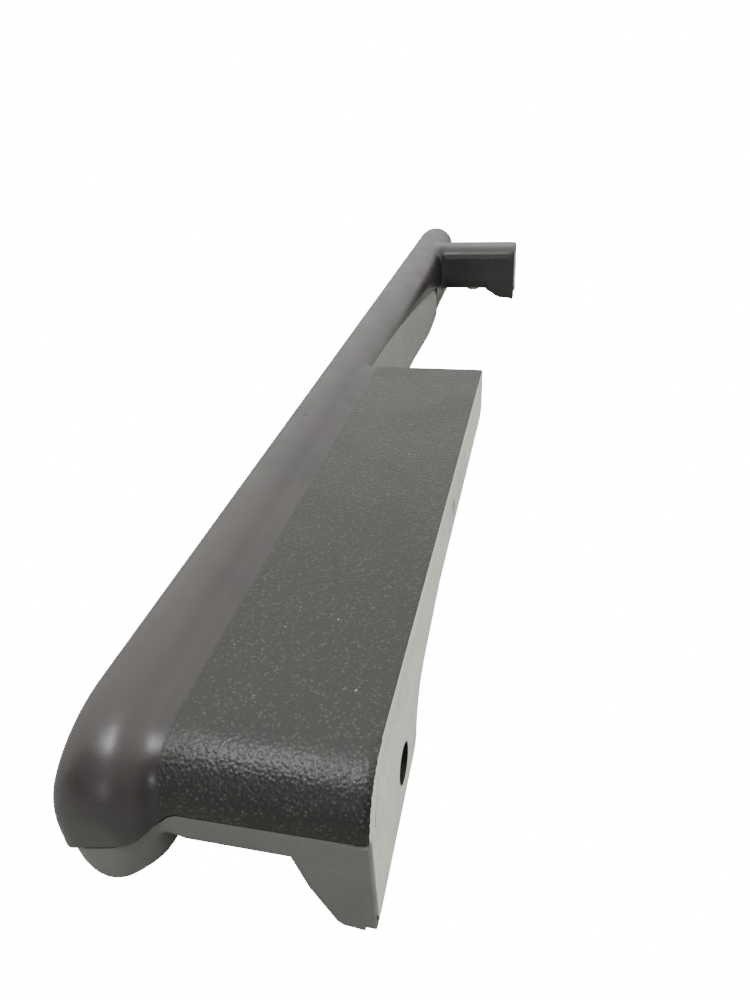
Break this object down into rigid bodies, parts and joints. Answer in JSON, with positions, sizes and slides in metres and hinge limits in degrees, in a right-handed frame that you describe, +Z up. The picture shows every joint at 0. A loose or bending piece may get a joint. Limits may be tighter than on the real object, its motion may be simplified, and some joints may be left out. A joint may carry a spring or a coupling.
{
  "type": "car door handle",
  "caption": "Bow-type exterior car door handle: smooth grip bar, grained mounting block, end post and a sprung squeeze trigger that drives a push rod through the seat.",
  "frame": {"origin": "on the flat seat of the block, midway between the floor and the roof of the block, where the handle meets the door skin", "axes": "+Y into the door, along the seat's outward normal; +X along the bar towards the mounting lug; +Z up, from the open underside to the grained top"},
  "size_m": [0.2557, 0.0376, 0.0253],
  "materials": {
    "black_plastic": "semi-matt, smooth on bar and post, leather-grained on the block",
    "grey_plastic": "satin moulded grey-green",
    "pale_seal": "matt closed-cell foam",
    "white_nylon": "natural nylon",
    "rubber": "matt",
    "steel": "bright zinc",
    "spring_steel": "drawn wire",
    "yellow_zinc": "yellow passivated zinc",
    "brass": "turned"
  },
  "bodies": {
    "handle": {"outer_cover": "black_plastic", "carrier": "grey_plastic", "block_pad": "pale_seal", "post_pad": "pale_seal", "lug_insert": "brass", "post_insert": "brass", "pivot_pin": "steel", "pivot_bracket": "steel", "bracket_screw_1": "steel", "bracket_screw_2": "steel", "rest_buffer": "rubber", "squeeze_buffer": "rubber", "plunger_guide": "white_nylon", "plunger_spring": "spring_steel", "return_spring": "spring_steel", "cover_screw_1": "yellow_zinc", "cover_screw_2": "yellow_zinc", "cover_screw_3": "yellow_zinc", "cover_screw_4": "yellow_zinc", "cover_screw_5": "yellow_zinc"},
    "trigger": {"trigger": "grey_plastic", "trigger_bush": "white_nylon", "adjusting_screw": "steel", "lock_nut": "steel"},
    "plunger": {"plunger": "steel"}
  },
  "joints": [
    {"name": "trigger_squeeze", "type": "hinge", "parent": "handle", "child": "trigger", "pos_m": [-0.049, -0.024, -0.0012], "axis": [0, 0, 1], "range_deg": [0, 4], "stiffness_Nm_per_rad": 1.2, "springref_deg": -6.88, "deforming": ["return_spring"]},
    {"name": "plunger_travel", "type": "slide", "parent": "handle", "child": "plunger", "axis": [0, 1, 0], "range_m": [0, 0.003], "stiffness_N_per_m": 10, "deforming": ["plunger_spring"]}
  ],
  "couplings": [
    {"joint": "plunger_travel", "follows": "trigger_squeeze", "m_per_rad": 0.041}
  ]
}
